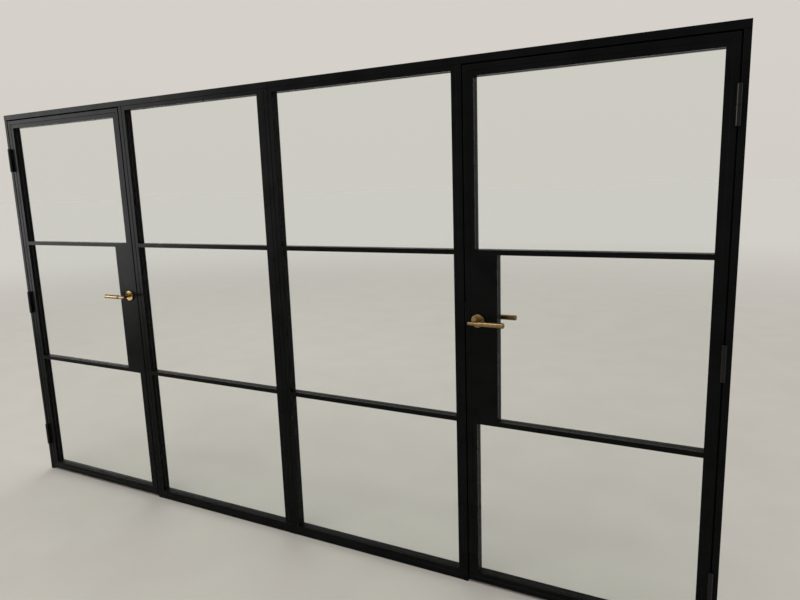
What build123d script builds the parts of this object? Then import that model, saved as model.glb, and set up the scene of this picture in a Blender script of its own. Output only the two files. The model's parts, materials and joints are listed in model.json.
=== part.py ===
from build123d import *
import os

# A glazed steel screen in its own frame: a door at each end and two fixed lights between them.
# X runs along the screen, Y through it with the opening side at minus Y, Z up from the floor.
# The right half is drawn and the left half is its mirror image.

# Frame and leaves
frame_width = 3500
frame_height = 2000
frame_depth = 45
member_face = 21  # jambs, door mullions, stiles and rails
centre_face = 20  # each half of the centre mullion
head_face = 26
sill_face = 26
tube_wall = 2
tube_edge = 1.5  # bevel along the edges of a tube
leaf_width = 855
door_gap = 4  # beside and above a leaf
floor_gap = 10  # under a leaf

# Glazing
glass = 6
glass_clearance = 3  # from the edge of a pane to the steel around it
gasket = 2
gasket_width = 4
bead_face = 18.5
bead_setback = 1.5  # bead fronts behind the faces of the members
bead_wall = 1.5
bead_joint = 0.2  # open line at the mitres of the beads
bar_face = 18.5
bar_web = 4
rows = 3
block_length = 40
block_inset = 60  # from the edge of a pane to a setting block

# Hinges
barrel = 16
hinge_length = 120
knuckle_gap = 0.3  # between the two halves of a hinge
barrel_clearance = 0.5  # from the barrel to the faces it turns past
hinge_foot = 5  # width of the foot behind the barrel
foot_share = 0.9  # of a half's length
hinge_pin = 10
pin_fit = 0.05  # all round
pin_grip = 35  # length of pin in the lower half
pin_reach = 45  # length of pin in the upper half
bottom_hinge_height = 219
top_hinge_drop = 235  # below the top of the frame

# Lock
panel_width = 83
panel_sheet = 1.5
spindle_rise = 382  # above the lower bar
backset = 50  # from the edge of the leaf to the spindle
case_depth = 76
case_thickness = 16
case_wall = 1.5
case_above = 45  # over the spindle
case_below = 30
case_clearance = 0.25
faceplate_width = 22
faceplate_height = 130
latch_rise = 27  # latch over the spindle
latch_height = 20
latch_thickness = 12
latch_throw = 8
latch_nose = 2  # flat at the tip
latch_flat = 1  # before the bevel begins
latch_inside = 14
latch_fit = 0.15
tail = 6
hub = 16
arm_width = 6
arm_length = 19
arm_play = 1.3
lug_thickness = 4
lug_clearance = 1  # over the hub
strike_width = 24
strike_height = 70
strike_thickness = 1.5
strike_margin = 2  # round the latch

# Lever handles
spindle = 8
spindle_play = 0.1
spindle_length = 100
spindle_clearance = 0.5  # round its corners where it passes the panel
rose = 50
rose_thickness = 8
neck_wall = 0.85  # outside the corners of the spindle
neck_fit = 0.15
neck_start = 0.3  # off the panel
socket_depth = 36
lever_projection = 52  # from the face of the leaf to the middle of the bar
rod = 14
rod_reach = 20  # either side of the spindle
grip = 20
grip_length = 96
grip_end = 3

# Stops behind the leaves
stop_lap = 8  # behind the leaf
stop_foot = 10  # on the frame
stop_thickness = 5
stop_rebate = 2.5
seal_width = 6
seal_clearance = 0.3

front = -frame_depth / 2
rear = frame_depth / 2
jamb_inner = frame_width / 2 - member_face
leaf_outer = jamb_inner - door_gap
leaf_inner = leaf_outer - leaf_width
mullion_outer = leaf_inner - door_gap
mullion_inner = mullion_outer - member_face
head_bottom = frame_height - head_face
leaf_top = head_bottom - door_gap
stile_inner = leaf_inner + member_face  # glass side of the lock stile
stile_outer = leaf_outer - member_face
panel_edge = stile_inner + panel_width

glass_side = glass / 2 + gasket  # where the beads begin, either side of the middle
bead_front = frame_depth / 2 - bead_setback
row_height = (head_bottom - sill_face - 2 * bead_face - (rows - 1) * bar_face) / rows
bar_bottoms = [sill_face + bead_face + i * row_height + (i - 1) * bar_face for i in range(1, rows)]
lock_row = (bar_bottoms[0] + bar_face, bar_bottoms[1])
spindle_height = lock_row[0] + spindle_rise


def block(x, y, z):
    # Box between two values on each axis
    middle = [(low + high) / 2 for low, high in (x, y, z)]
    size = [high - low for low, high in (x, y, z)]
    return Pos(*middle) * Box(*size)


def both_sides(low, high):
    # The same range of Y in front of the middle and behind it
    return ((-high, -low), (low, high))


def tube(x, y, z, wall, upright, edge=0, cap=0):
    # Rectangular tube that fills the box, with its long edges bevelled by edge and its ends closed by cap
    middle_y = (y[0] + y[1]) / 2
    depth = y[1] - y[0]
    if upright:
        face, length = x[1] - x[0], z[1] - z[0]
        start = Plane(origin=((x[0] + x[1]) / 2, middle_y, z[0]), x_dir=(1, 0, 0), z_dir=(0, 0, 1))
    else:
        face, length = z[1] - z[0], x[1] - x[0]
        start = Plane(origin=(x[0], middle_y, (z[0] + z[1]) / 2), x_dir=(0, 0, -1), z_dir=(1, 0, 0))
    outline = Rectangle(face, depth)
    if edge:
        outline = chamfer(outline.vertices(), edge)
    outside = extrude(start * outline, length)
    bore = extrude(start.offset(cap) * Rectangle(face - 2 * wall, depth - 2 * wall), length - 2 * cap)
    return outside - bore


def mitred_frame(x, y, z, face, wall, edge=0, joint=0):
    # Inner, outer, bottom and top tubes around a rectangle, mitred at its corners
    uprights = [
        tube((x[0], x[0] + face), y, z, wall, True, edge),
        tube((x[1] - face, x[1]), y, z, wall, True, edge),
    ]
    levels = [
        tube(x, y, (z[0], z[0] + face), wall, False, edge),
        tube(x, y, (z[1] - face, z[1]), wall, False, edge),
    ]
    for i, (corner_x, inward_x) in enumerate(((x[0], 1), (x[1], -1))):
        for j, (corner_z, inward_z) in enumerate(((z[0], 1), (z[1], -1))):
            mitre = Plane(origin=(corner_x, 0, corner_z), z_dir=(-inward_x, 0, inward_z))
            uprights[i] = split(uprights[i], bisect_by=mitre.offset(joint / 2), keep=Keep.TOP)
            levels[j] = split(levels[j], bisect_by=mitre.offset(-joint / 2), keep=Keep.BOTTOM)
    return uprights + levels


def beads(x, z, panel=None):
    # Front beads and rear beads of an opening, with bar caps behind; panel gives the lock panel's edge
    sides = []
    for y in both_sides(glass_side, bead_front):
        ring = mitred_frame(x, y, z, bead_face, bead_wall, joint=bead_joint)
        if panel:
            cut = block((x[0], x[0] + bead_face), y, lock_row)
            ring[0:1] = (ring[0] - cut).solids()
            ring.append(tube((panel, panel + bead_face), y, lock_row, bead_wall, True))
        sides.append(ring)
    inside = (x[0] + bead_face, x[1] - bead_face)
    for bottom in bar_bottoms:
        span = (bottom, bottom + bar_face)
        sides[1].append(tube(inside, (glass_side, bead_front), span, bead_wall, False))
    return sides


def glazing_bars(x):
    # Tee bars: a tube in front of the panes and a web between them
    bars = []
    inside = (x[0] + bead_face, x[1] - bead_face)
    for bottom in bar_bottoms:
        span = (bottom, bottom + bar_face)
        flange = tube(inside, (-bead_front, -glass_side), span, bead_wall, False)
        middle = bottom + bar_face / 2
        web = block(x, (-glass_side, glass_side), (middle - bar_web / 2, middle + bar_web / 2))
        bars.append(flange + web)
    return bars


def pane_openings(x, z, panel=None):
    # For each pane: the steel around its edge and the daylight inside its beads, both as X and Z ranges
    web_gap = (bar_face - bar_web) / 2
    lows = [z[0]] + [bottom + bar_face - web_gap for bottom in bar_bottoms]
    highs = [bottom + web_gap for bottom in bar_bottoms] + [z[1]]
    light_lows = [z[0] + bead_face] + [bottom + bar_face for bottom in bar_bottoms]
    light_highs = bar_bottoms + [z[1] - bead_face]
    found = []
    for i in range(rows):
        start = panel if panel and i == 1 else x[0]
        edge = ((start, x[1]), (lows[i], highs[i]))
        daylight = ((start + bead_face, x[1] - bead_face), (light_lows[i], light_highs[i]))
        found.append((edge, daylight))
    return found


def glazing(x, z, panel=None):
    # Panes, gaskets and setting blocks of one opening
    panes, gaskets, blocks = [], [], []
    for ((low_x, high_x), (low_z, high_z)), (light_x, light_z) in pane_openings(x, z, panel):
        pane_x = (low_x + glass_clearance, high_x - glass_clearance)
        pane_z = (low_z + glass_clearance, high_z - glass_clearance)
        panes.append(block(pane_x, (-glass / 2, glass / 2), pane_z))
        for y in both_sides(glass / 2, glass_side):
            outer = [(low - gasket_width, high + gasket_width) for low, high in (light_x, light_z)]
            gaskets.append(block(outer[0], y, outer[1]) - block(light_x, y, light_z))
        under = (low_z, pane_z[0])
        for start in (pane_x[0] + block_inset, pane_x[1] - block_inset - block_length):
            blocks.append(block((start, start + block_length), (-glass / 2, glass / 2), under))
    return panes, gaskets, blocks


hinge_x = leaf_outer + door_gap / 2
hinge_y = front - barrel / 2 - barrel_clearance
top_hinge = frame_height - top_hinge_drop
hinge_heights = (bottom_hinge_height, (bottom_hinge_height + top_hinge) / 2, top_hinge)


def knuckle(middle, upper):
    # Half of a weld-on hinge: a barrel with a blind bore, and behind it a foot on the face of its member
    side = -1 if upper else 1
    way = 1 if upper else -1
    start = middle + knuckle_gap / 2 if upper else middle - knuckle_gap / 2
    length = (hinge_length - knuckle_gap) / 2
    bore_depth = (pin_reach if upper else pin_grip) + pin_fit
    section = Pos(hinge_x, hinge_y) * Circle(barrel / 2)
    body = extrude(Plane.XY.offset(start) * section, way * length)
    foot_x = sorted((hinge_x + side * door_gap / 2, hinge_x + side * (door_gap / 2 + hinge_foot)))
    foot_z = sorted((start, start + way * length * foot_share))
    body += block(foot_x, (hinge_y, front), foot_z)
    bore = Pos(hinge_x, hinge_y) * Circle(hinge_pin / 2 + pin_fit)
    return body - extrude(Plane.XY.offset(start) * bore, way * bore_depth)


def pin(middle):
    low = middle - knuckle_gap / 2 - pin_grip
    high = middle + knuckle_gap / 2 + pin_reach
    return extrude(Plane.XY.offset(low) * Pos(hinge_x, hinge_y) * Circle(hinge_pin / 2), high - low)


spindle_x = leaf_inner + backset
spindle_corners = spindle * 2 ** 0.5  # across them
neck = spindle_corners + 2 * neck_wall
latch_z = (spindle_height + latch_rise - latch_height / 2, spindle_height + latch_rise + latch_height / 2)
case_front = leaf_inner + tube_wall
case_z = (spindle_height - case_below, spindle_height + case_above)
case_y = (-case_thickness / 2, case_thickness / 2)
plate_middle = (case_z[0] + case_z[1]) / 2


def along_y(x, z, diameter, y):
    # Round bar or bore along Y
    plane = Plane(origin=(x, y[0], z), x_dir=(1, 0, 0), z_dir=(0, 1, 0))
    return extrude(plane * Circle(diameter / 2), y[1] - y[0])


def faceplate_block(thickness, extra=0):
    half = faceplate_height / 2 + extra
    width = faceplate_width / 2 + extra
    z = (plate_middle - half, plate_middle + half)
    return block((leaf_inner, leaf_inner + thickness), (-width, width), z)


def lock_stile(tube_shape):
    # The stile lets the faceplate in flush and the case through
    z = (case_z[0] - case_clearance, case_z[1] + case_clearance)
    y = (case_y[0] - case_clearance, case_y[1] + case_clearance)
    slot = block((case_front, stile_inner), y, z)
    return tube_shape - faceplate_block(tube_wall, case_clearance) - slot


def lock_panel():
    # Folded sheet box, open to the stile
    depth = bead_front
    outside = block((stile_inner, panel_edge), (-depth, depth), lock_row)
    inner_z = (lock_row[0] + panel_sheet, lock_row[1] - panel_sheet)
    inner_depth = depth - panel_sheet
    inside = block((stile_inner, panel_edge - panel_sheet), (-inner_depth, inner_depth), inner_z)
    hole = along_y(spindle_x, spindle_height, spindle_corners + 2 * spindle_clearance, (-depth, depth))
    return outside - inside - hole


def lock_case():
    # Case with a faceplate, a mouth for the latch and a bearing hole in each cheek for the follower
    back = case_front + case_depth
    outside = block((case_front, back), case_y, case_z)
    inner_y = (case_y[0] + case_wall, case_y[1] - case_wall)
    inner_z = (case_z[0] + case_wall, case_z[1] - case_wall)
    inside = block((case_front + case_wall, back - case_wall), inner_y, inner_z)
    half = latch_thickness / 2 + latch_fit
    mouth_z = (latch_z[0] - latch_fit, latch_z[1] + latch_fit)
    mouth = block((leaf_inner, case_front + case_wall), (-half, half), mouth_z)
    bearing = along_y(spindle_x, spindle_height, hub + 2 * pin_fit, case_y)
    return outside - inside + faceplate_block(tube_wall) - mouth - bearing


def latch():
    # Bevelled bolt with a tail that ends in a lug, which the follower's arm draws back
    half = latch_thickness / 2
    tip = leaf_inner - latch_throw
    back = leaf_inner + latch_inside
    bevel_end = leaf_inner - latch_flat
    corners = ((back, -half), (tip, -half), (tip, latch_nose - half), (bevel_end, half), (back, half))
    bolt = extrude(Plane.XY.offset(latch_z[0]) * make_face(Polyline(*corners, close=True)), latch_height)
    lug_x = spindle_x + arm_width / 2 + arm_play
    tail_z = spindle_height + latch_rise - tail / 2
    rail = block((back, lug_x + lug_thickness), (-tail / 2, tail / 2), (tail_z, tail_z + tail))
    lug_z = (spindle_height + hub / 2 + lug_clearance, tail_z)
    return bolt + rail + block((lug_x, lug_x + lug_thickness), (-tail / 2, tail / 2), lug_z)


def follower():
    # Hub with a square hole that turns in both cheeks of the case, and an arm up to the latch
    shape = along_y(spindle_x, spindle_height, hub, case_y)
    arm_x = (spindle_x - arm_width / 2, spindle_x + arm_width / 2)
    shape += block(arm_x, (-arm_width / 2, arm_width / 2), (spindle_height, spindle_height + arm_length))
    half = spindle / 2 + spindle_play
    square_z = (spindle_height - half, spindle_height + half)
    return shape - block((spindle_x - half, spindle_x + half), case_y, square_z)


def strike():
    # Plate on the mullion with a hole for the latch
    low = mullion_outer
    z_mid = spindle_height + latch_rise
    z = (z_mid - strike_height / 2, z_mid + strike_height / 2)
    plate = block((low, low + strike_thickness), (-strike_width / 2, strike_width / 2), z)
    return plate - latch_hole()


def latch_hole():
    # Room for the latch in the strike and in the wall of the mullion
    half = latch_thickness / 2 + strike_margin
    z = (latch_z[0] - strike_margin, latch_z[1] + strike_margin)
    return block((mullion_outer - tube_wall, mullion_outer + strike_thickness), (-half, half), z)


def rose_plate():
    # Turned rose, seated on the front of the lock panel
    base = -bead_front
    shape = along_y(spindle_x, spindle_height, rose, (base - rose_thickness, base))
    return shape - along_y(spindle_x, spindle_height, neck + 2 * neck_fit, (base - rose_thickness, base))


def along_x(x, diameter, y):
    plane = Plane(origin=(x[0], y, spindle_height), x_dir=(0, 1, 0), z_dir=(1, 0, 0))
    return extrude(plane * Circle(diameter / 2), x[1] - x[0])


def lever():
    # Neck, a thin rod across it and a thick grip with an eased end
    axis_y = front - lever_projection
    shape = along_y(spindle_x, spindle_height, neck, (axis_y, -bead_front - neck_start))
    shape += along_x((spindle_x - rod_reach, spindle_x + rod_reach), rod, axis_y)
    grip_start = spindle_x + rod_reach
    handle = along_x((grip_start, grip_start + grip_length), grip, axis_y)
    handle = chamfer(handle.edges().filter_by(GeomType.CIRCLE).sort_by(Axis.X)[-1], grip_end)
    shape += handle
    half = spindle / 2 + spindle_play
    socket_y = (-bead_front - neck_start - socket_depth, -bead_front - neck_start)
    socket_z = (spindle_height - half, spindle_height + half)
    return shape - block((spindle_x - half, spindle_x + half), socket_y, socket_z)


def spindle_bar():
    half = spindle / 2
    z = (spindle_height - half, spindle_height + half)
    return block((spindle_x - half, spindle_x + half), (-spindle_length / 2, spindle_length / 2), z)


def stop(x, z, upright):
    # Rebated strip behind the edge of the leaf; x and z run from the leaf side to the frame side
    y = (rear, rear + stop_thickness)
    low_x, high_x = sorted(x)
    low_z, high_z = sorted(z)
    body = block((low_x, high_x), y, (low_z, high_z))
    lap = stop_lap + door_gap
    if upright:
        cut_x = sorted((x[0], x[0] + (lap if x[1] > x[0] else -lap)))
        return body - block(cut_x, (rear, rear + stop_rebate), (low_z, high_z))
    return body - block((low_x, high_x), (rear, rear + stop_rebate), (low_z, low_z + lap))


def door_stops():
    # Strips at the lock side, the hinge side and the head, and the rubber seals in their rebates
    top = leaf_top - stop_lap
    wide = stop_lap + door_gap + stop_foot
    lock_x = (leaf_inner + stop_lap, leaf_inner + stop_lap - wide)
    hinge_side = (leaf_outer - stop_lap, leaf_outer - stop_lap + wide)
    stops = [
        stop(lock_x, (0, top), True),
        stop(hinge_side, (0, top), True),
        stop((lock_x[1], hinge_side[1]), (top, top + wide), False),
    ]
    y = (rear + seal_clearance, rear + stop_rebate)
    low, high = leaf_inner + stop_lap, leaf_outer - stop_lap
    seals = [
        block((low - seal_width, low), y, (floor_gap, top)),
        block((high, high + seal_width), y, (floor_gap, top)),
        block((low - seal_width, high + seal_width), y, (top, top + seal_width)),
    ]
    return stops, seals


def turned_round(shape):
    # The same piece on the rear face
    return mirror(shape, about=Plane.XZ)


light_x = (centre_face, mullion_inner)
light_z = (sill_face, head_bottom)
leaf_x = (leaf_inner, leaf_outer)
leaf_z = (floor_gap, leaf_top)
door_x = (stile_inner, stile_outer)
door_z = (floor_gap + member_face, leaf_top - member_face)
y_all = (front, rear)

head_x = (-frame_width / 2, frame_width / 2)
head = tube(head_x, y_all, (head_bottom, frame_height), tube_wall, False, tube_edge, tube_wall)

half = {}
for name, x in (
    ("jamb", (jamb_inner, frame_width / 2)),
    ("mullion", (mullion_inner, mullion_outer)),
    ("centre_mullion", (0, centre_face)),
):
    half[name] = tube(x, y_all, (0, head_bottom), tube_wall, True, tube_edge, tube_wall)
half["mullion"] -= latch_hole()
half["sill"] = tube(light_x, y_all, (0, sill_face), tube_wall, False, tube_edge, tube_wall)

light_beads = beads(light_x, light_z)
light_panes, light_gaskets, light_blocks = glazing(light_x, light_z)
half["light_front_beads"], half["light_rear_beads"] = light_beads
half["light_bars"] = glazing_bars(light_x)
half["light_panes"] = light_panes
half["light_gaskets"] = light_gaskets
half["light_setting_blocks"] = light_blocks

stops, seals = door_stops()
half["door_stops"] = stops
half["door_seals"] = seals
half["strike_plate"] = strike()
half["frame_knuckles"] = [knuckle(height, False) for height in hinge_heights]
half["hinge_pins"] = [pin(height) for height in hinge_heights]

leaf = mitred_frame(leaf_x, y_all, leaf_z, member_face, tube_wall, tube_edge)
half["lock_stile"] = lock_stile(leaf[0])
half["hinge_stile"], half["bottom_rail"], half["top_rail"] = leaf[1:]
half["door_front_beads"], half["door_rear_beads"] = beads(door_x, door_z, panel_edge)
half["door_bars"] = glazing_bars(door_x)
door_panes, door_gaskets, door_blocks = glazing(door_x, door_z, panel_edge)
half["door_panes"] = door_panes
half["door_gaskets"] = door_gaskets
half["door_setting_blocks"] = door_blocks
half["leaf_knuckles"] = [knuckle(height, True) for height in hinge_heights]
half["lock_panel"] = lock_panel()
half["lock_case"] = lock_case()
half["roses"] = [rose_plate(), turned_round(rose_plate())]
half["lever_front"] = lever()
half["lever_rear"] = turned_round(lever())
half["spindle"] = spindle_bar()
half["follower"] = follower()
half["latch"] = latch()

# Pieces whose left and right copies share one node, all of them on the fixed frame
shared = ("light_gaskets", "light_setting_blocks", "door_stops", "door_seals", "strike_plate",
          "frame_knuckles", "hinge_pins", "light_front_beads", "light_rear_beads")


def solids_of(shape):
    pieces = shape if isinstance(shape, list) else [shape]
    return [solid for piece in pieces for solid in piece.solids()]


os.makedirs("parts", exist_ok=True)
export_step(head, "parts/head.step")
for name, shape in half.items():
    right = solids_of(shape)
    left = [mirror(solid, about=Plane.YZ) for solid in right]
    groups = {name: right + left} if name in shared else {name + "_right": right, name + "_left": left}
    for node, solids in groups.items():
        export_step(Compound(children=solids) if len(solids) > 1 else solids[0], f"parts/{node}.step")
print(len(os.listdir("parts")), "nodes written")
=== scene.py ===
import bpy
import json
import math
from mathutils import Matrix, Vector

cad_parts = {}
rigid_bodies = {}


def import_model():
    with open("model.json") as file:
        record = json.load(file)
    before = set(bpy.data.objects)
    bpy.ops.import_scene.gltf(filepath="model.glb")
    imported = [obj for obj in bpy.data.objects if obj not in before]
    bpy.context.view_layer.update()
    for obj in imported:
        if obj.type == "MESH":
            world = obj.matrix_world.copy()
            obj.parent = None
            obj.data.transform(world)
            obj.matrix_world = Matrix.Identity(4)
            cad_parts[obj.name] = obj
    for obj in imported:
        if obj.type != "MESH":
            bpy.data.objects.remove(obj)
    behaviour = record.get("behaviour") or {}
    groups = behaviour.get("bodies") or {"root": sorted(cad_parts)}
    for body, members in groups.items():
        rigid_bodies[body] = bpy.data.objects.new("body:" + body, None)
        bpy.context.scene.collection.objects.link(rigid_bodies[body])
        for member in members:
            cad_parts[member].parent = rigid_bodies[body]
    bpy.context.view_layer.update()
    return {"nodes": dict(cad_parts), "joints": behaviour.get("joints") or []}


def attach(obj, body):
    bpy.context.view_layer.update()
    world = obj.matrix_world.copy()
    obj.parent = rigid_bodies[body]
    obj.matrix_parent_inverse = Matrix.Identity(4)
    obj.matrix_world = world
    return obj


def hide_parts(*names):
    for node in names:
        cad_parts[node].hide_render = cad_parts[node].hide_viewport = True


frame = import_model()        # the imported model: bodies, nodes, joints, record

nodes = frame["nodes"]
axes = {joint["name"]: joint.get("pos_m") for joint in frame["joints"]}  # a point on the axis of each hinge
mm = 0.001
sameSpot = 0.001 * mm  # corners nearer than this are one


# camera, where the photograph was taken from

view = {
    "place": (1.7293, -2.1762, 1.568),  # metres
    "turnLeft": 27.693,  # degrees
    "lookDown": 10.205,
    "lean": -1.865,
    "lens": 28.65,
    "sensor": 36,
}

bpy.ops.object.camera_add(location=view["place"])
camera = bpy.context.object
camera.name = "camera"
camera.data.lens = view["lens"]
camera.data.sensor_width = view["sensor"]
aim = (Matrix.Rotation(math.radians(view["turnLeft"]), 4, "Z")
       @ Matrix.Rotation(math.radians(90 - view["lookDown"]), 4, "X")
       @ Matrix.Rotation(math.radians(view["lean"]), 4, "Z"))
camera.matrix_world = Matrix.Translation(view["place"]) @ aim
bpy.context.scene.camera = camera
print("camera placed")


# materials

def linear(hexColour):
    # sRGB hex colour to the linear values that a shader takes
    parts = [int(hexColour[i:i + 2], 16) / 255 for i in (1, 3, 5)]
    return [p / 12.92 if p <= 0.04045 else ((p + 0.055) / 1.055) ** 2.4 for p in parts] + [1]


def addNode(tree, kind, settings={}, links={}):
    # one node; settings go to its fields or its sockets, links give socket: (node, output)
    node = tree.nodes.new(kind)
    for key, value in settings.items():
        if isinstance(key, str) and hasattr(node, key):
            setattr(node, key, value)
        else:
            node.inputs[key].default_value = value
    for key, (source, output) in links.items():
        tree.links.new(source.outputs[output], node.inputs[key])
    return node


def newMaterial(name):
    # an empty material with its output, and the object's own coordinates
    material = bpy.data.materials.new(name)
    material.use_nodes = True
    tree = material.node_tree
    tree.nodes.clear()
    out = addNode(tree, "ShaderNodeOutputMaterial")
    place = addNode(tree, "ShaderNodeTexCoord")
    return material, tree, out, place


def mixColours(tree, source, output, span, first, second):
    # the source, going through the span, goes from the first colour to the second
    share = addNode(tree, "ShaderNodeMapRange", {"From Min": span[0], "From Max": span[1]},
                    {"Value": (source, output)})
    return addNode(tree, "ShaderNodeMix", {"data_type": "RGBA", 6: linear(first), 7: linear(second)},
                   {0: (share, "Result")})


def paint(piece, material):
    piece.data.materials.clear()
    piece.data.materials.append(material)


noiseSpan = (0.3, 0.7)  # a noise lies mostly between these
patchSpan = (0.35, 0.7)  # for patches, a little more of the first colour

powderCoat = {
    "colour": "#060707",
    "paler": "#0b0c0c",
    # specular is how much of the room the coat shows: low, or black steel turns grey in a pale one
    "tube": {"roughness": (0.24, 0.34), "specular": 0.055, "dimples": 0.2},  # drawn tube and folded sheet
    "barrel": {"roughness": (0.14, 0.2), "specular": 0.22, "dimples": 0.08},  # smooth turned hinges
    "peel": 2.4,  # mm between the dimples of the coating
    "peelDepth": 0.12,
    "grit": 0.5,  # mm, the fine texture of a matt powder
    "gritDepth": 0.05,
    "drift": 90,  # mm, how slowly the sheen changes
}


def powderCoatedSteel(name, skin):
    # polyester powder on mild steel: near black and satin, with a soft orange peel where light grazes it
    m, tree, out, place = newMaterial(name)
    peel = addNode(tree, "ShaderNodeTexNoise", {"Scale": 1 / (powderCoat["peel"] * mm), "Detail": 2},
                   {"Vector": (place, "Object")})
    grit = addNode(tree, "ShaderNodeTexNoise", {"Scale": 1 / (powderCoat["grit"] * mm), "Detail": 1},
                   {"Vector": (place, "Object")})
    drift = addNode(tree, "ShaderNodeTexNoise", {"Scale": 1 / (powderCoat["drift"] * mm), "Detail": 4},
                    {"Vector": (place, "Object")})
    colour = mixColours(tree, drift, "Fac", patchSpan, powderCoat["colour"], powderCoat["paler"])
    sheen = addNode(tree, "ShaderNodeMapRange", {
        "From Min": noiseSpan[0], "From Max": noiseSpan[1],
        "To Min": skin["roughness"][0], "To Max": skin["roughness"][1]}, {"Value": (drift, "Fac")})
    fine = addNode(tree, "ShaderNodeBump", {"Strength": 0.12, "Distance": powderCoat["gritDepth"] * mm},
                   {"Height": (grit, "Fac")})
    waves = addNode(tree, "ShaderNodeBump",
                    {"Strength": skin["dimples"], "Distance": powderCoat["peelDepth"] * mm},
                    {"Height": (peel, "Fac"), "Normal": (fine, "Normal")})
    skinLayer = addNode(tree, "ShaderNodeBsdfPrincipled", {
        "IOR": 1.5, "Specular IOR Level": skin["specular"]}, {
        "Base Color": (colour, "Result"), "Roughness": (sheen, "Result"), "Normal": (waves, "Normal")})
    tree.links.new(skinLayer.outputs["BSDF"], out.inputs["Surface"])
    return m


floatGlassPane = {
    "tint": "#f8fbf9",  # clear soda lime glass, faintly green
    "shadowTint": "#f3f8f5",  # what light that passes straight through keeps
    "wave": 260,  # mm between the roller waves of toughened glass
    "waveDepth": 0.05,  # mm
    "cycle": 0.314,  # metres between the bands of a wave texture whose scale is 1
}


def floatGlass():
    # toughened float glass: clear, mirror smooth, with the slow ripple of its rollers in reflections
    m, tree, out, place = newMaterial("toughened float glass")
    ripple = addNode(tree, "ShaderNodeTexWave", {
        "bands_direction": "Z", "Scale": floatGlassPane["cycle"] / (floatGlassPane["wave"] * mm),
        "Distortion": 1.5, "Detail": 1, "Detail Scale": 0.5}, {"Vector": (place, "Object")})
    bump = addNode(tree, "ShaderNodeBump", {"Strength": 0.3, "Distance": floatGlassPane["waveDepth"] * mm},
                   {"Height": (ripple, "Fac")})
    pane = addNode(tree, "ShaderNodeBsdfPrincipled", {
        "Base Color": linear(floatGlassPane["tint"]), "Roughness": 0, "IOR": 1.52,
        "Transmission Weight": 1}, {"Normal": (bump, "Normal")})
    passing = addNode(tree, "ShaderNodeBsdfTransparent", {"Color": linear(floatGlassPane["shadowTint"])})
    rays = addNode(tree, "ShaderNodeLightPath")
    both = addNode(tree, "ShaderNodeMixShader", {}, {
        0: (rays, "Is Shadow Ray"), 1: (pane, "BSDF"), 2: (passing, "BSDF")})
    tree.links.new(both.outputs["Shader"], out.inputs["Surface"])
    return m


satinBrass = {
    "colour": "#977e51",
    "deeper": "#78613a",
    "roughness": (0.2, 0.32),
    "stretch": 0.8,  # how far a highlight is drawn out across the marks of the tool
    "lacquer": 0.6,
    "line": 0.45,  # mm between the marks of the tool, coarser than the real 0.1 so that they show
    "lineDepth": 0.03,  # mm
    "tarnish": 14,  # mm
}


def turnedBrass(name, run):
    # lacquered satin brass turned on a lathe: soft gold, with highlights drawn out across its fine rings
    # run picks the directions in which the rings follow each other, away from the lock's spindle
    m, tree, out, place = newMaterial(name)
    mirrored = addNode(tree, "ShaderNodeVectorMath", {"operation": "ABSOLUTE"}, {0: (place, "Object")})
    centred = addNode(tree, "ShaderNodeVectorMath", {
        "operation": "SUBTRACT", 1: axes["handle_turn_right"]}, {0: (mirrored, "Vector")})
    across = addNode(tree, "ShaderNodeVectorMath", {"operation": "MULTIPLY", 1: run},
                     {0: (centred, "Vector")})
    distance = addNode(tree, "ShaderNodeVectorMath", {"operation": "LENGTH"}, {0: (across, "Vector")})
    rings = addNode(tree, "ShaderNodeTexNoise", {
        "noise_dimensions": "1D", "Scale": 1 / (satinBrass["line"] * mm), "Detail": 3},
        {"W": (distance, "Value")})
    tarnish = addNode(tree, "ShaderNodeTexNoise", {"Scale": 1 / (satinBrass["tarnish"] * mm), "Detail": 3},
                      {"Vector": (place, "Object")})
    colour = mixColours(tree, tarnish, "Fac", patchSpan, satinBrass["colour"], satinBrass["deeper"])
    rough = addNode(tree, "ShaderNodeMapRange", {
        "From Min": noiseSpan[0], "From Max": noiseSpan[1],
        "To Min": satinBrass["roughness"][0], "To Max": satinBrass["roughness"][1]},
        {"Value": (rings, "Fac")})
    bump = addNode(tree, "ShaderNodeBump", {"Strength": 0.09, "Distance": satinBrass["lineDepth"] * mm},
                   {"Height": (rings, "Fac")})
    half = addNode(tree, "ShaderNodeVectorMath", {"operation": "SIGN"}, {0: (place, "Object")})
    outwards = addNode(tree, "ShaderNodeVectorMath", {"operation": "MULTIPLY"},
                       {0: (across, "Vector"), 1: (half, "Vector")})
    turning = addNode(tree, "ShaderNodeVectorTransform", {
        "vector_type": "VECTOR", "convert_from": "OBJECT", "convert_to": "WORLD"},
        {"Vector": (outwards, "Vector")})
    metal = addNode(tree, "ShaderNodeBsdfPrincipled", {
        "Metallic": 1, "Coat Weight": satinBrass["lacquer"], "Coat Roughness": 0.08, "Coat IOR": 1.5,
        "Anisotropic": satinBrass["stretch"]}, {
        "Base Color": (colour, "Result"), "Roughness": (rough, "Result"), "Normal": (bump, "Normal"),
        "Tangent": (turning, "Vector")})
    tree.links.new(metal.outputs["BSDF"], out.inputs["Surface"])
    return m


lockMetal = {
    "colour": "#b4b5b2",
    "deeper": "#9a9c9a",
    "roughness": (0.28, 0.42),
    "grain": 0.5,  # mm between the lines of the brush
    "grainDepth": 0.03,
    "run": 40,  # mm, how long a line is
}


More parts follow.
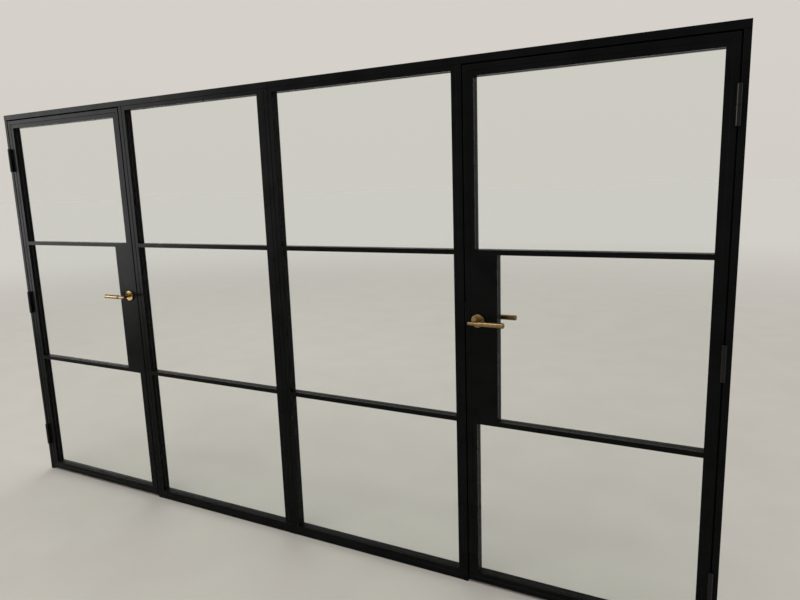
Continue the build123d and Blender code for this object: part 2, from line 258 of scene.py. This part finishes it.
def brushedSteel():
    # stainless steel with an upright brushed grain: pale grey, dull along the grain
    m, tree, out, place = newMaterial("brushed stainless steel")
    fineScale, longScale = 1 / (lockMetal["grain"] * mm), 1 / (lockMetal["run"] * mm)
    drawn = addNode(tree, "ShaderNodeMapping", {"Scale": (fineScale, fineScale, longScale)},
                    {"Vector": (place, "Object")})
    grain = addNode(tree, "ShaderNodeTexNoise", {"Scale": 1, "Detail": 4}, {"Vector": (drawn, "Vector")})
    colour = mixColours(tree, grain, "Fac", noiseSpan, lockMetal["colour"], lockMetal["deeper"])
    rough = addNode(tree, "ShaderNodeMapRange", {
        "From Min": noiseSpan[0], "From Max": noiseSpan[1],
        "To Min": lockMetal["roughness"][0], "To Max": lockMetal["roughness"][1]},
        {"Value": (grain, "Fac")})
    bump = addNode(tree, "ShaderNodeBump", {"Strength": 0.2, "Distance": lockMetal["grainDepth"] * mm},
                   {"Height": (grain, "Fac")})
    metal = addNode(tree, "ShaderNodeBsdfPrincipled", {"Metallic": 1}, {
        "Base Color": (colour, "Result"), "Roughness": (rough, "Result"), "Normal": (bump, "Normal")})
    tree.links.new(metal.outputs["BSDF"], out.inputs["Surface"])
    return m


sealRubber = {
    "colour": "#161616",
    "bloom": "#242524",
    "bloomSpan": (0.4, 0.75),
    "bloomScale": 18,  # patches about 55 mm across
    "skin": 1.2,  # mm
    "skinDepth": 0.08,
}


def epdmRubber():
    # extruded EPDM: dull black with a faint grey bloom
    m, tree, out, place = newMaterial("EPDM rubber")
    skin = addNode(tree, "ShaderNodeTexNoise", {"Scale": 1 / (sealRubber["skin"] * mm), "Detail": 3},
                   {"Vector": (place, "Object")})
    bloom = addNode(tree, "ShaderNodeTexNoise", {"Scale": sealRubber["bloomScale"], "Detail": 4},
                    {"Vector": (place, "Object")})
    colour = mixColours(tree, bloom, "Fac", sealRubber["bloomSpan"], sealRubber["colour"],
                        sealRubber["bloom"])
    bump = addNode(tree, "ShaderNodeBump", {"Strength": 0.25, "Distance": sealRubber["skinDepth"] * mm},
                   {"Height": (skin, "Fac")})
    body = addNode(tree, "ShaderNodeBsdfPrincipled", {
        "IOR": 1.5, "Roughness": 0.72, "Specular IOR Level": 0.3}, {
        "Base Color": (colour, "Result"), "Normal": (bump, "Normal")})
    tree.links.new(body.outputs["BSDF"], out.inputs["Surface"])
    return m


packerNylon = {
    "colour": "#d8d2c2",
    "deeper": "#cbc4b2",
    "flowScale": 120,  # mottles about 8 mm across
    "flowDepth": 0.05,  # mm
}


def mouldedNylon():
    # moulded nylon packers: ivory and slightly mottled
    m, tree, out, place = newMaterial("moulded nylon")
    flow = addNode(tree, "ShaderNodeTexNoise", {"Scale": packerNylon["flowScale"], "Detail": 2},
                   {"Vector": (place, "Object")})
    colour = mixColours(tree, flow, "Fac", patchSpan, packerNylon["colour"], packerNylon["deeper"])
    bump = addNode(tree, "ShaderNodeBump", {"Strength": 0.15, "Distance": packerNylon["flowDepth"] * mm},
                   {"Height": (flow, "Fac")})
    body = addNode(tree, "ShaderNodeBsdfPrincipled", {"IOR": 1.53, "Roughness": 0.5}, {
        "Base Color": (colour, "Result"), "Normal": (bump, "Normal")})
    tree.links.new(body.outputs["BSDF"], out.inputs["Surface"])
    return m


coat = powderCoatedSteel("powder-coated steel", powderCoat["tube"])
barrelCoat = powderCoatedSteel("powder-coated steel, turned", powderCoat["barrel"])
glass = floatGlass()
steel = brushedSteel()
rubber = epdmRubber()
nylon = mouldedNylon()
barBrass = turnedBrass("satin brass, turned bar", (1, 0, 0))
neckBrass = turnedBrass("satin brass, turned neck", (0, 1, 0))
roseBrass = turnedBrass("satin brass, faced rose", (1, 0, 1))
print("materials made")


# the frame, leaves, glass and seals keep their shapes and get their finish

finishes = (
    (coat, ("head", "jamb", "mullion", "centre_mullion", "sill", "light_bars", "light_front_beads",
            "light_rear_beads", "door_stops", "lock_stile", "hinge_stile", "bottom_rail", "top_rail",
            "door_front_beads", "door_rear_beads", "door_bars", "lock_panel", "frame_knuckles",
            "leaf_knuckles")),
    (glass, ("light_panes", "door_panes")),
    (rubber, ("light_gaskets", "door_gaskets", "door_seals")),
    (nylon, ("light_setting_blocks", "door_setting_blocks")),
    (steel, ("strike_plate", "lock_case", "spindle", "follower", "latch", "hinge_pins")),
)

softEdge = {  # where the coating rounds an edge
    "width": 0.35,  # mm
    "segments": 2,
    "sharper": 30,  # degrees between the faces of an edge that is rounded
    "flat": 0.5,  # degrees between triangles that make one flat face
}

# hinges get new pieces below, and rounding would open the strips that touch along an edge of their own node
crisp = ("frame_knuckles", "leaf_knuckles", "door_rear_beads", "door_stops")


def soften(piece):
    # joins the loose triangles, clears the lines across flat faces and rounds the edges
    for face in piece.data.polygons:
        face.use_smooth = True
    piece.modifiers.new("merge", "WELD").merge_threshold = sameSpot
    flat = piece.modifiers.new("flat faces", "DECIMATE")
    flat.decimate_type = "DISSOLVE"
    flat.angle_limit = math.radians(softEdge["flat"])
    bevel = piece.modifiers.new("soft edges", "BEVEL")
    bevel.width = softEdge["width"] * mm
    bevel.segments = softEdge["segments"]
    bevel.limit_method = "ANGLE"
    bevel.angle_limit = math.radians(softEdge["sharper"])
    shading = piece.modifiers.new("flat shading", "WEIGHTED_NORMAL")
    shading.mode = "FACE_AREA"
    shading.weight = 100


for material, names in finishes:
    for name in names:
        for node in (name, name + "_right", name + "_left"):
            if node in nodes:
                paint(nodes[node], material)
                if material == coat and name not in crisp:
                    soften(nodes[node])
print("carried-over pieces finished")


# modelling helpers

def deselectAll():
    if bpy.context.mode != "OBJECT":
        bpy.ops.object.mode_set(mode="OBJECT")
    bpy.ops.object.select_all(action="DESELECT")


def pick(*pieces):
    # selects these pieces alone, the first one active
    deselectAll()
    for piece in pieces:
        piece.select_set(True)
    bpy.context.view_layer.objects.active = pieces[0]


def eased(height, radius, steps):
    # the rings of a rounded edge or a groove; steps are (up, out) in mm from its height and radius
    return [(height + up, radius + out) for up, out in steps]


def turned(name, profile, corners=64, ring=False):
    # draws a circle up a profile of (height, radius) in mm, as on a lathe; a ring closes on its start
    start, firstRadius = profile[0]
    deselectAll()
    bpy.ops.mesh.primitive_circle_add(vertices=corners, radius=firstRadius * mm, location=(0, 0, start * mm))
    piece = bpy.context.object
    piece.name = name
    bpy.ops.object.transform_apply(location=True)
    bpy.ops.object.mode_set(mode="EDIT")
    bpy.ops.mesh.select_all(action="SELECT")
    for (low, before), (high, radius) in zip(profile, profile[1:]):
        bpy.ops.mesh.extrude_region_move(TRANSFORM_OT_translate={"value": (0, 0, (high - low) * mm)})
        bpy.ops.transform.resize(value=(radius / before, radius / before, 1), center_override=(0, 0, 0))
    bpy.ops.mesh.select_all(action="SELECT")
    if ring:
        bpy.ops.mesh.remove_doubles(threshold=sameSpot)
    else:
        bpy.ops.mesh.fill_holes(sides=0)
    bpy.ops.mesh.normals_make_consistent(inside=False)
    bpy.ops.object.mode_set(mode="OBJECT")
    return piece


def setDown(piece, place, turn=(0, 0, 0)):
    # turns a piece by degrees and sets it at a place in mm, both kept in its mesh
    pick(piece)
    piece.rotation_euler = [math.radians(a) for a in turn]
    piece.location = [v * mm for v in place]
    bpy.ops.object.transform_apply(location=True, rotation=True, scale=True)


def boxed(name, low, high):
    # a cube primitive stretched between two corners in mm
    deselectAll()
    bpy.ops.mesh.primitive_cube_add(size=1, location=[(a + b) / 2 * mm for a, b in zip(low, high)])
    piece = bpy.context.object
    piece.name = name
    piece.scale = [(b - a) * mm for a, b in zip(low, high)]
    bpy.ops.object.transform_apply(location=True, rotation=True, scale=True)
    return piece


def rounded(piece, width, segments=3, sharper=30):
    # bevels every edge whose faces meet at more than so many degrees
    pick(piece)
    bevel = piece.modifiers.new("edges", "BEVEL")
    bevel.width = width * mm
    bevel.segments = segments
    bevel.limit_method = "ANGLE"
    bevel.angle_limit = math.radians(sharper)
    bpy.ops.object.modifier_apply(modifier=bevel.name)


def combine(piece, other, how):
    # joins other to piece, or cuts it out, and removes it
    pick(piece)
    work = piece.modifiers.new("combine", "BOOLEAN")
    work.operation = how
    work.solver = "EXACT"
    work.material_mode = "TRANSFER"
    work.object = other
    bpy.ops.object.modifier_apply(modifier=work.name)
    bpy.data.objects.remove(other)


def smooth(piece, angle=30):
    pick(piece)
    bpy.ops.object.shade_smooth_by_angle(angle=math.radians(angle))


def copied(piece, name, mirror=(1, 1, 1), move=(0, 0, 0)):
    # a copy with its own mesh, mirrored about the middle of the screen or moved by mm
    pick(piece)
    bpy.ops.object.duplicate()
    copy = bpy.context.object
    copy.name = name
    bpy.ops.object.mode_set(mode="EDIT")
    bpy.ops.mesh.select_all(action="SELECT")
    bpy.ops.transform.resize(value=mirror, center_override=(0, 0, 0))
    bpy.ops.transform.translate(value=[v * mm for v in move])
    if mirror[0] * mirror[1] * mirror[2] < 0:
        bpy.ops.mesh.flip_normals()
    bpy.ops.object.mode_set(mode="OBJECT")
    return copy


def fit(piece, body, slot, *stands):
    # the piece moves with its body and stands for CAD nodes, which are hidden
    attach(piece, body)
    if stands:
        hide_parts(*stands)


sides = (("right", "Right", 1), ("left", "Left", -1))
faces = (("front", "Front", 1), ("rear", "Rear", -1))


# lever handles

lever = {  # mm
    "spindleX": axes["handle_turn_right"][0] / mm,
    "spindleZ": axes["handle_turn_right"][2] / mm,
    "faceY": -21.3,  # where the neck starts
    "axisY": -74.5,  # middle of the bar
    "neck": 6.507,  # radius
    "neckEdge": 0.3,
    "neckPast": 0.5,  # how far the neck goes past the middle of the bar
    "rod": 7,  # radius
    "rodReach": 20,  # to each side of the spindle
    "grip": 10,  # radius
    "gripLength": 96,
    "cap": 11,  # length of the screwed end of the grip
    # a ring just beyond each rounding keeps the shading of the straight bar even
    "rodEnd": ((0, -0.8), (0.25, -0.3), (0.8, 0), (1.3, 0)),
    "shoulder": ((0, -1.5), (0.3, -0.9), (0.8, -0.4), (1.6, 0), (2.1, 0)),
    "capJoint": ((-0.25, 0), (-0.1, -0.3), (0.1, -0.3), (0.25, 0)),
    "dome": ((-5.1, 0), (-4.6, 0), (-3.5, -0.2), (-2.4, -0.7), (-1.4, -1.5), (-0.6, -2.7), (-0.15, -4),
             (0, -5.5)),
    "grubHole": 1.8,  # radius, and depth
    "grubY": -36,
    "grubSunk": 0.6,  # how far under the neck the hole starts
}


def modelLever():
    # a thin rod and a thick grip in one turned bar, on a neck that stands on the rose
    rod, grip, reach = lever["rod"], lever["grip"], lever["rodReach"]
    tip = reach + lever["gripLength"]
    bar = turned("bar", eased(-reach, rod, lever["rodEnd"]) + [(reach, rod)]
                 + eased(reach, grip, lever["shoulder"]) + eased(tip - lever["cap"], grip, lever["capJoint"])
                 + eased(tip, grip, lever["dome"]))
    setDown(bar, (lever["spindleX"], lever["axisY"], lever["spindleZ"]), (0, 90, 0))
    paint(bar, barBrass)
    r, long = lever["neck"], lever["faceY"] - lever["axisY"]
    edge, past = lever["neckEdge"], lever["neckPast"]
    neck = turned("neck", [(0, r - edge), (edge, r), (long, r), (long + past, r - past)])
    setDown(neck, (lever["spindleX"], lever["faceY"], lever["spindleZ"]), (90, 0, 0))
    paint(neck, neckBrass)
    combine(bar, neck, "UNION")
    hole = lever["grubHole"]
    grub = turned("grub", [(0, hole), (hole, hole)], corners=24)
    setDown(grub, (lever["spindleX"], lever["grubY"], lever["spindleZ"] - r - lever["grubSunk"]))
    paint(grub, steel)
    combine(bar, grub, "DIFFERENCE")
    smooth(bar)
    return bar


firstLever = modelLever()
for side, sideName, x in sides:
    for face, faceName, y in faces:
        piece = copied(firstLever, "lever" + faceName + sideName, (x, y, 1))
        fit(piece, "handle_" + side, "satin_brass", "lever_" + face + "_" + side)
bpy.data.objects.remove(firstLever)
print("levers turned")


# roses

rose = {  # mm
    "radius": 25,
    "thickness": 8,
    "hole": 6.657,
    "seat": -21,  # y of the lock panel's face
    "seatEdge": ((0, -0.2), (0.3, 0)),
    "rim": ((-2.3, 0), (-1.8, 0), (-1.1, -0.15), (-0.5, -0.6), (-0.1, -1.3), (0, -2.2), (0, -2.7)),
    "mouth": ((0, 1), (0, 0.5), (-0.15, 0.15), (-0.5, 0)),
}


def modelRose():
    # a flat disc with a soft rim
    r, t, hole = rose["radius"], rose["thickness"], rose["hole"]
    disc = turned("rose", [(0, hole)] + eased(0, r, rose["seatEdge"]) + eased(t, r, rose["rim"])
                  + eased(t, hole, rose["mouth"]) + [(0, hole)], corners=96, ring=True)
    setDown(disc, (lever["spindleX"], rose["seat"], lever["spindleZ"]), (90, 0, 0))
    paint(disc, roseBrass)
    smooth(disc)
    return disc


firstRose = modelRose()
for side, sideName, x in sides:
    for face, faceName, y in faces:
        piece = copied(firstRose, "rose" + faceName + sideName, (x, y, 1))
        fit(piece, "door_" + side, "satin_brass", "roses_" + side)
bpy.data.objects.remove(firstRose)
print("roses turned")


# hinges

hinge = {  # mm
    "x": axes["door_swing_right"][0] / mm,
    "y": axes["door_swing_right"][1] / mm,
    "heights": (219, 992, 1765),  # of the splits, above the floor
    "radius": 8,
    "half": 59.85,  # length of each knuckle
    "gap": 0.15,  # between each knuckle and the middle of the split
    "bore": 5.05,  # radius
    "lowerBore": 35.05,  # depth
    "upperBore": 45.05,
    "cap": 8,  # length of the end cap
    "splitEdge": ((0, -0.5), (0.15, -0.15), (0.5, 0), (1, 0)),
    "groove": ((-0.3, 0), (-0.15, -0.35), (0.15, -0.35), (0.3, 0)),
    "crown": ((-2.5, 0), (-2, 0), (-1.3, -0.15), (-0.6, -0.6), (-0.15, -1.3), (0, -2.2)),
    "foot": (2, 7, 53.9),  # from and to, beside the axis, and its length
    "footBack": 1,  # how far behind the axis the foot starts
    "footEdge": 0.5,
    "faceY": -22.5,  # front of the steel that the foot is welded to
    "bead": 1.3,  # radius of the weld
    "beadAt": (0.1, -0.35),  # its middle, from the corner of foot and face
    "ripples": 27,
    "valley": 0.82,  # radius between two ripples, and at the end of the weld, as shares of the bead
    "tail": 0.7,
}


def modelWeld(long):
    # a bead of weld with the ripples that the torch leaves
    bead, count = hinge["bead"], hinge["ripples"]
    rings = []
    for i in range(count):
        z = long * i / count
        rings += [(z, bead * hinge["valley"]), (z + long / (2 * count), bead)]
    weld = turned("weld", rings + [(long, bead * hinge["tail"])], corners=12)
    smooth(weld, angle=60)
    return weld


def modelKnuckle(depth):
    # a barrel bored to a depth, its end cap, its foot and the weld along the foot; drawn up from the split
    r, long, bore = hinge["radius"], hinge["half"], hinge["bore"]
    barrel = turned("knuckle", [(depth, bore), (0, bore)] + eased(0, r, hinge["splitEdge"])
                    + eased(long - hinge["cap"], r, hinge["groove"]) + eased(long, r, hinge["crown"]))
    setDown(barrel, (hinge["x"], hinge["y"], 0))
    start, end, high = hinge["foot"]
    foot = boxed("foot", (hinge["x"] + start, hinge["y"] + hinge["footBack"], 0),
                 (hinge["x"] + end, hinge["faceY"], high))
    rounded(foot, hinge["footEdge"])
    combine(barrel, foot, "UNION")
    smooth(barrel)
    weld = modelWeld(high)
    besideX, besideY = hinge["beadAt"]
    setDown(weld, (hinge["x"] + end + besideX, hinge["faceY"] + besideY, 0))
    pick(barrel, weld)
    bpy.ops.object.join()
    paint(barrel, barrelCoat)
    return barrel


def turnedAbout(knuckle):
    # the foot of an upper knuckle is on the leaf side of the barrel
    pick(knuckle)
    bpy.ops.object.mode_set(mode="EDIT")
    bpy.ops.mesh.select_all(action="SELECT")
    bpy.ops.transform.resize(value=(-1, 1, 1), center_override=(hinge["x"] * mm, 0, 0))
    bpy.ops.mesh.flip_normals()
    bpy.ops.object.mode_set(mode="OBJECT")


lower = modelKnuckle(hinge["lowerBore"])
upper = modelKnuckle(hinge["upperBore"])
turnedAbout(upper)
for side, sideName, x in sides:
    for kind, knuckle, way, body, node in (
            ("leafKnuckle", upper, 1, "door_" + side, "leaf_knuckles_" + side),
            ("frameKnuckle", lower, -1, "frame", "frame_knuckles")):
        for i, height in enumerate(hinge["heights"]):
            there = copied(knuckle, "knuckle", (1, 1, way), (0, 0, height + way * hinge["gap"]))
            piece = copied(there, kind + sideName + str(i + 1), (x, 1, 1))
            bpy.data.objects.remove(there)
            fit(piece, body, "black_steel", node)
bpy.data.objects.remove(lower)
bpy.data.objects.remove(upper)
print("hinges made")


# screws of the strikes and faceplates

screw = {  # mm
    "head": 3.8,  # radius
    "section": ((-1.6, -1.4), (0, 0), (0.18, -0.25), (0.3, -0.9)),  # up from the plate, out from the radius
    "slot": 0.9,  # width of the cross
    "reach": 2.2,  # half its length
    "deep": 1.2,
    "clear": 1,  # how far the cutter stands above the head
    "strike": (867.5, (-26, 26), 1096.667),  # x of the face, heights from the middle, middle
    "faceplate": (870, (-58, 58), 1077.167),
}


def modelScrew():
    # a countersunk head that stands a little proud, with a cross cut in it
    top, halfSlot, reach = screw["section"][-1][0], screw["slot"] / 2, screw["reach"]
    head = turned("screw", eased(0, screw["head"], screw["section"]), corners=40)
    for x, y in ((reach, halfSlot), (halfSlot, reach)):
        cut = boxed("cross", (-x, -y, top - screw["deep"]), (x, y, top + screw["clear"]))
        combine(head, cut, "DIFFERENCE")
    smooth(head)
    paint(head, steel)
    return head


firstScrew = modelScrew()
for side, sideName, x in sides:
    for plate, turn, body in (("strike", 90, "frame"), ("faceplate", -90, "door_" + side)):
        faceX, heights, middle = screw[plate]
        for i, height in enumerate(heights):
            there = copied(firstScrew, "screw")
            setDown(there, (faceX, 0, middle + height), (0, turn, 0))
            piece = copied(there, plate + "Screw" + sideName + str(i + 1), (x, 1, 1))
            bpy.data.objects.remove(there)
            fit(piece, body, "lock_steel")
bpy.data.objects.remove(firstScrew)
print("screws in")


# floor, light and background

studio = {
    "floor": "#cbc6bd",
    "patch": "#c6c1b8",
    "patchScale": 3,  # patches about 330 mm across
    "distant": "#ebe7e0",  # the floor where it meets the background
    "fade": (3, 16),  # metres from the middle, where the floor goes over to the distant colour
    "floorSize": 400,  # metres
    "floorDrop": 0.5,  # mm, so that no edge of the object lies in the floor
    "background": "#d5d1ca",
    "shade": "#b8b4ad",  # the background on the side that the doors open to
    "shadeSpan": (-0.95, -0.1),  # from all shade to none, by how much the view looks to that side
    "horizon": "#d2cec7",  # the background where it meets the floor
    "horizonRise": 0.2,  # how far up the horizon's colour reaches, as the sine of the angle
    "fill": 0.78,  # strength of the light from all round
}

deselectAll()
bpy.ops.mesh.primitive_plane_add(size=studio["floorSize"], location=(0, 0, -studio["floorDrop"] * mm))
floor = bpy.context.object
floor.name = "floor"
m, tree, out, place = newMaterial("pale floor")
grain = addNode(tree, "ShaderNodeTexNoise", {"Scale": studio["patchScale"], "Detail": 4},
                {"Vector": (place, "Object")})
near = mixColours(tree, grain, "Fac", noiseSpan, studio["floor"], studio["patch"])
distance = addNode(tree, "ShaderNodeVectorMath", {"operation": "LENGTH"}, {0: (place, "Object")})
share = addNode(tree, "ShaderNodeMapRange", {
    "interpolation_type": "SMOOTHSTEP", "From Min": studio["fade"][0], "From Max": studio["fade"][1]},
    {"Value": (distance, "Value")})
tone = addNode(tree, "ShaderNodeMix", {"data_type": "RGBA", 7: linear(studio["distant"])},
               {0: (share, "Result"), 6: (near, "Result")})
matt = addNode(tree, "ShaderNodeBsdfPrincipled", {"Roughness": 0.6, "Specular IOR Level": 0.3},
               {"Base Color": (tone, "Result")})
tree.links.new(matt.outputs["BSDF"], out.inputs["Surface"])
paint(floor, m)

world = bpy.data.worlds.new("studio")
bpy.context.scene.world = world
world.use_nodes = True
tree = world.node_tree
tree.nodes.clear()
out = addNode(tree, "ShaderNodeOutputWorld")
rays = addNode(tree, "ShaderNodeLightPath")
seen = addNode(tree, "ShaderNodeMath", {"operation": "MAXIMUM"},
               {0: (rays, "Is Camera Ray"), 1: (rays, "Is Glossy Ray")})
seen = addNode(tree, "ShaderNodeMath", {"operation": "MAXIMUM"},
               {0: (seen, "Value"), 1: (rays, "Is Transmission Ray")})
fill = addNode(tree, "ShaderNodeBackground", {"Color": linear("#ffffff"), "Strength": studio["fill"]})
way = addNode(tree, "ShaderNodeTexCoord")
parts = addNode(tree, "ShaderNodeSeparateXYZ", {}, {0: (way, "Generated")})
sky = mixColours(tree, parts, "Y", studio["shadeSpan"], studio["shade"], studio["background"])
rise = addNode(tree, "ShaderNodeMapRange", {
    "interpolation_type": "SMOOTHSTEP", "From Max": studio["horizonRise"]}, {"Value": (parts, "Z")})
tone = addNode(tree, "ShaderNodeMix", {"data_type": "RGBA", 6: linear(studio["horizon"])},
               {0: (rise, "Result"), 7: (sky, "Result")})
backdrop = addNode(tree, "ShaderNodeBackground", {"Strength": 1}, {"Color": (tone, "Result")})
both = addNode(tree, "ShaderNodeMixShader", {}, {
    0: (seen, "Value"), 1: (fill, "Background"), 2: (backdrop, "Background")})
tree.links.new(both.outputs["Shader"], out.inputs["Surface"])

# no lamp lights the panes, so that none shows in the glass
# the side lamp leaves out the floor too, so that the floor has no bright patch
lit = bpy.data.collections.new("lit by the lamps")
litObject = bpy.data.collections.new("lit by the side lamp")
for piece in bpy.context.scene.objects:
    if piece.type == "MESH" and "panes" not in piece.name:
        lit.objects.link(piece)
        if piece != floor:
            litObject.objects.link(piece)

lamps = (
    # name, place, aim, width, height, watts, what it lights
    ("window side", (-6.2, -3.65, 1.9), (-0.9, 0.0, 1.2), 3.3, 3.5, 180, litObject),
    ("overhead", (-0.2, -2.8, 4.8), (0.0, 0.0, 0.8), 3.6, 1.0, 55, lit),
    ("behind", (-3.0, 3.5, 5.2), (0.0, 0.0, 1.0), 3.0, 3.0, 60, lit),
)
for name, spot, target, wide, high, watts, receivers in lamps:
    deselectAll()
    bpy.ops.object.light_add(type="AREA", location=spot)
    lamp = bpy.context.object
    lamp.name = name
    lamp.data.shape = "RECTANGLE"
    lamp.data.size = wide
    lamp.data.size_y = high
    lamp.data.energy = watts
    lamp.visible_transmission = False
    lamp.light_linking.receiver_collection = receivers
    lamp.rotation_euler = (Vector(target) - Vector(spot)).to_track_quat("-Z", "Y").to_euler()

bpy.context.scene.view_settings.view_transform = "Standard"
print("studio lit")

deselectAll()
